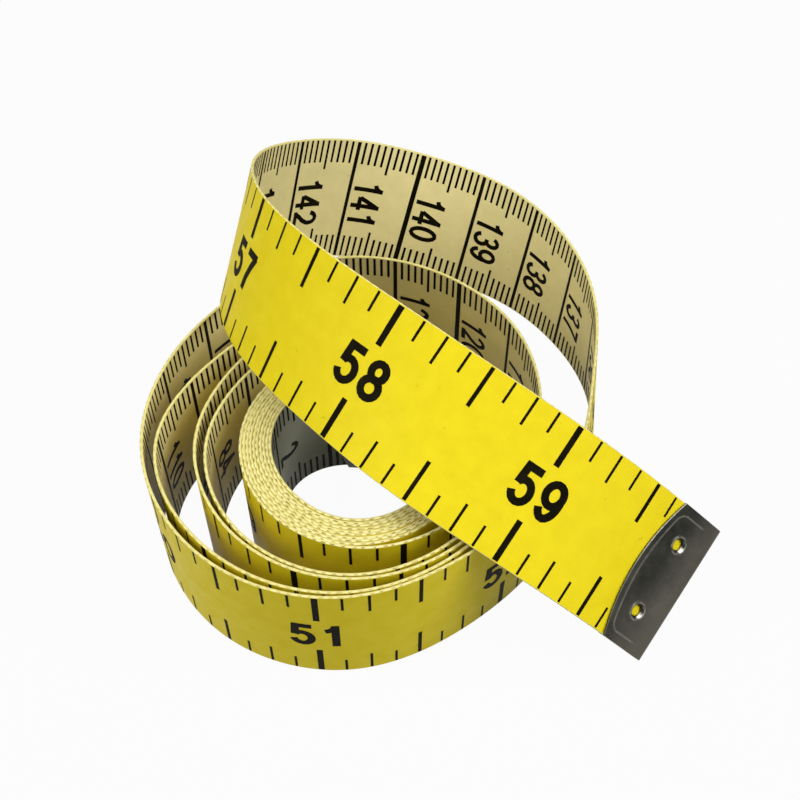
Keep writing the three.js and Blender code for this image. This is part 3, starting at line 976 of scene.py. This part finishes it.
def flat_metal_end(name, fold_at, inward):
    """One thin sheet folded over the tape's end: leaf, bend, leaf. Distances run from the fold."""
    bend_radius = TAPE_THICKNESS / 2 + LEAF_CLEARANCE + END_SHEET / 2
    fold_line = bend_radius + END_SHEET / 2
    side = np.linspace(-TAPE_WIDTH / 2, TAPE_WIDTH / 2, END_COLUMNS + 1)
    reach = END_LENGTH + END_ARCH * (1 - (side / (TAPE_WIDTH / 2)) ** 2)
    length, width, lift, in_hole, crimp_wall_shade, painted_glint = metal_leaf(side, reach, fold_line)
    border = border_line(length, width, reach)
    front_lift = lift + border * BORDER_HEIGHT
    front = np.stack([fold_at + inward * length, width, bend_radius + front_lift], -1)
    behind = np.stack([fold_at + inward * length, width, -bend_radius - lift], -1)
    front_rubbed_and_highlight = rubbed_and_highlight_share(length, width, reach, front_lift, border, painted_glint)
    behind_rubbed_and_highlight = rubbed_and_highlight_share(length, width, reach, lift, np.zeros_like(border), painted_glint)
    leaf_greyer = wear_and_painted_light_share(length, width, crimp_wall_shade)
    turns = np.linspace(0, math.pi, BEND_ROWS + 1)[1:-1, None]
    bend_length = fold_line - bend_radius * np.sin(turns)
    bend = np.stack(np.broadcast_arrays(
        fold_at + inward * bend_length, side[None], bend_radius * np.cos(turns)), -1)
    bend_rubbed = np.full(bend.shape[:2], FOLD_RUBBED)
    bend_greyer = np.repeat(leaf_greyer[-1:], BEND_ROWS - 1, 0)
    points = np.concatenate([front, bend, behind[::-1]])
    rubbed = np.concatenate([front_rubbed_and_highlight, bend_rubbed, behind_rubbed_and_highlight[::-1]])
    worn = np.concatenate([leaf_greyer, bend_greyer, leaf_greyer[::-1]])
    gone = np.concatenate([in_hole, np.zeros(bend.shape[:2], dtype=bool), in_hole[::-1]])
    faces = []
    for row in range(points.shape[0] - 1):
        for column in range(END_COLUMNS):
            corners = [(row, column), (row, column + 1), (row + 1, column + 1), (row + 1, column)]
            if not any(gone[corner] for corner in corners):
                faces.append([r * (END_COLUMNS + 1) + c for r, c in corners])
    mesh = new_mesh(name, points.reshape(-1, 3).tolist(), faces)
    for label, values in (("rubbed", rubbed), ("worn", worn)):
        set_attribute(mesh, label, "FLOAT", "POINT", values)
    mesh.shade_smooth()
    return mesh


def metal_end(name, fold_at, inward):
    flat = flat_metal_end(name, fold_at, inward)
    flat.materials.append(metal)
    obj = through_tree(new_object(name, flat), winding, {"Route": route})
    sheet = obj.modifiers.new("sheet_thickness", "SOLIDIFY")
    sheet.thickness = END_SHEET
    sheet.offset = 0
    return made_plain(obj)


zero_metal = metal_end("zero_metal", 0, 1)
outer_metal = metal_end("outer_metal", route_length, -1)


# The digits: strokes of even width, in a box one wide and one high from the middles of the outer strokes

BOW_POINTS = 33
DIGIT_STEP = 0.45 * MM


def bow(middle_x, middle_y, reach_x, reach_y, start, end):
    turns = np.radians(np.linspace(start, end, BOW_POINTS))
    return [(middle_x + reach_x * math.cos(t), middle_y + reach_y * math.sin(t)) for t in turns]


DIGIT_STROKES = [
    [bow(0.5, 0.5, 0.5, 0.5, 0, 360)],
    [[(0.62, -0.10), (0.62, 1.10)], [(0.08, 0.77), (0.32, 0.80), (0.50, 0.88), (0.60, 1.00)]],
    [bow(0.5, 0.70, 0.48, 0.30, 172, -28) + [(0.70, 0.38), (0.34, 0.19), (0.10, 0.02)],
     [(-0.14, 0), (1.12, 0)]],
    [bow(0.48, 0.745, 0.42, 0.255, 165, -80), bow(0.48, 0.255, 0.50, 0.265, 82, -168),
     [(0.34, 0.505), (0.60, 0.505)]],
    [[(0.70, 1.02), (-0.04, 0.27)], [(-0.12, 0.25), (1.14, 0.25)], [(0.72, -0.10), (0.72, 1.10)]],
    [[(1.02, 1.0), (-0.05, 1.0)], [(0.16, 1.08), (0.08, 0.46)], bow(0.47, 0.315, 0.50, 0.315, 142, -165)],
    [bow(0.5, 0.31, 0.49, 0.31, 0, 360), bow(0.52, 0.5, 0.51, 0.5, 200, 32)],
    [[(-0.10, 1.0), (1.12, 1.0)], [(1.00, 1.02), (0.68, 0.66), (0.46, 0.30), (0.38, -0.10)]],
    [bow(0.5, 0.76, 0.41, 0.24, 0, 360), bow(0.5, 0.27, 0.50, 0.27, 0, 360)],
    [bow(0.5, 0.69, 0.49, 0.31, 0, 360), bow(0.48, 0.5, 0.51, 0.5, 20, -148)],
]


def stroke_ribbon(path, width, step):
    """A flat ribbon along a path, in steps short enough to bend with the tape; a closed path makes a ring."""
    path = np.array(path)
    lengths = lengths_along(path)
    count = max(2, math.ceil(lengths[-1] / step) + 1)
    even = np.linspace(0, lengths[-1], count)
    line = np.stack([np.interp(even, lengths, column) for column in path.T], 1)
    along = np.gradient(line, axis=0)
    if np.allclose(path[0], path[-1]):
        along[0] = along[-1] = line[1] - line[-2]
    along = unit_vectors(along)
    aside = np.stack([-along[:, 1], along[:, 0]], 1) * width / 2
    points = np.concatenate([line + aside, line - aside])
    faces = [(i, i + count, i + count + 1, i + 1) for i in range(count - 1)]
    return points, faces


def digit_set(name, width, height, stroke):
    """Ten flat digits, each centred on its own origin."""
    digits = bpy.data.collections.new(name)
    for value, strokes in enumerate(DIGIT_STROKES):
        points = []
        faces = []
        for path in strokes:
            placed = [((x - 0.5) * (width - stroke), (y - 0.5) * (height - stroke)) for x, y in path]
            ribbon, quads = stroke_ribbon(placed, stroke, DIGIT_STEP)
            faces += [[corner + len(points) for corner in quad] for quad in quads]
            points += [(x, y, 0) for x, y in ribbon]
        mesh = new_mesh(f"{name}_{value}", points, faces)
        digits.objects.link(bpy.data.objects.new(f"{name}_{value}", mesh))
    return digits


# The printed scales

INCH_MARKS = {
    "Step": INCH / 8, "Marks Per Number": 8, "Numbers Per Bold": 1, "Turn": 0.0,
    "Height": TAPE_THICKNESS / 2 + INK_PROUD, "Bold Width": 0.78 * MM,
    **mark_sizes("Length", 5.5 * MM, 5.4 * MM, 3.75 * MM, 2.8 * MM),
    **mark_sizes("Width", 0.78 * MM, 0.51 * MM, 0.35 * MM, 0.33 * MM),
}
CENTIMETRE_MARKS = {
    "Step": 1 * MM, "Marks Per Number": 10, "Numbers Per Bold": 10, "Turn": math.pi,
    "Height": -TAPE_THICKNESS / 2 - INK_PROUD, "Bold Width": 0.74 * MM,
    **mark_sizes("Length", TAPE_WIDTH / 2 - INK_INSET, 4.5 * MM, 3.4 * MM, 3.4 * MM),
    **mark_sizes("Width", 0.55 * MM, 0.36 * MM, 0.36 * MM, 0.36 * MM),
}
CENTIMETRE_DIGIT = 4.5 * MM
CENTIMETRE_NUMBER_FROM_LINE = 0.8 * MM
CENTIMETRE_NUMBER_OFF_MIDDLE = 0.35 * MM
INCH_NUMBERS = {
    "Step": INCH, "Height": INCH_MARKS["Height"], "Digit Pitch": 3.75 * MM,
    "Turn": (0, 0, 0), "Reading Direction": (1, 0, 0), "Beside Line": (0, 0, 0),
}
CENTIMETRE_NUMBERS = {
    "Step": 10 * MM, "Height": CENTIMETRE_MARKS["Height"], "Digit Pitch": 2.55 * MM,
    "Turn": (math.pi, 0, -math.pi / 2), "Reading Direction": (0, -1, 0),
    "Beside Line": (-CENTIMETRE_NUMBER_FROM_LINE - CENTIMETRE_DIGIT / 2, -CENTIMETRE_NUMBER_OFF_MIDDLE, 0),
}

scale_marks = marks_tree()
scale_numbers = numbers_tree()
inch_digits = digit_set("inch_digit", width=3.3 * MM, height=5.45 * MM, stroke=1.0 * MM)
centimetre_digits = digit_set("centimetre_digit", width=2.4 * MM, height=CENTIMETRE_DIGIT, stroke=0.68 * MM)


def printed_scale(name, scale, zero, start, end):
    """One printed stretch of a scale, from start to end on that scale, as one piece of ink."""
    parts = []
    for tree, sizes in zip((scale_marks, scale_numbers), scale):
        first = math.ceil(start / sizes["Step"])
        count = math.floor(end / sizes["Step"]) - first + 1
        values = {"Route": route, "Finish": ink, "Zero": zero, "First": first, "Count": count, **sizes}
        parts.append(made_plain(through_tree(new_object(name, bpy.data.meshes.new(name)), tree, values)))
    with bpy.context.temp_override(active_object=parts[0], selected_editable_objects=parts):
        bpy.ops.object.join()
    return parts[0]


# The tight layers between the bore and the core's outside show no print
FIRST_SHOWN_INCH = 27.9 * INCH
FIRST_SHOWN_CENTIMETRE = 770 * MM
LAST_IN_BORE = 66 * MM
METAL_COVERS = 6.6 * MM

inch_scale = (INCH_MARKS, {**INCH_NUMBERS, "Digits": inch_digits})
centimetre_scale = (CENTIMETRE_MARKS, {**CENTIMETRE_NUMBERS, "Digits": centimetre_digits})
inch_print_coil = printed_scale("inch_print_coil", inch_scale, outer_zero, FIRST_SHOWN_INCH, PIECES_MEET)
centimetre_print_coil = printed_scale(
    "centimetre_print_coil", centimetre_scale, outer_zero, FIRST_SHOWN_CENTIMETRE, PIECES_MEET)
centimetre_print_bore = printed_scale(
    "centimetre_print_bore", centimetre_scale, 0, METAL_COVERS, LAST_IN_BORE)
inch_print_free = printed_scale(
    "inch_print_free", inch_scale, outer_zero, PIECES_MEET, TAPE_LENGTH - METAL_COVERS)
centimetre_print_free = printed_scale(
    "centimetre_print_free", centimetre_scale, outer_zero, PIECES_MEET, TAPE_LENGTH - METAL_COVERS)

for digits in (inch_digits, centimetre_digits):
    for digit in list(digits.objects):
        bpy.data.objects.remove(digit)
    bpy.data.collections.remove(digits)
bpy.data.objects.remove(route)


# What each piece moves with, and the imported parts that are hidden

for piece in (tape_coil, inch_print_coil, centimetre_print_coil, centimetre_print_bore, zero_metal):
    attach(piece, "coil")
for piece in (tape_free, inch_print_free, centimetre_print_free):
    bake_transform(piece)
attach(outer_metal, "free_end")

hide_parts("tape_core", "tape_loose_turns", "tape_rising_turn")
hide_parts("tape_free_end")
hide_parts("zero_end_metal")
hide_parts("outer_end_metal")
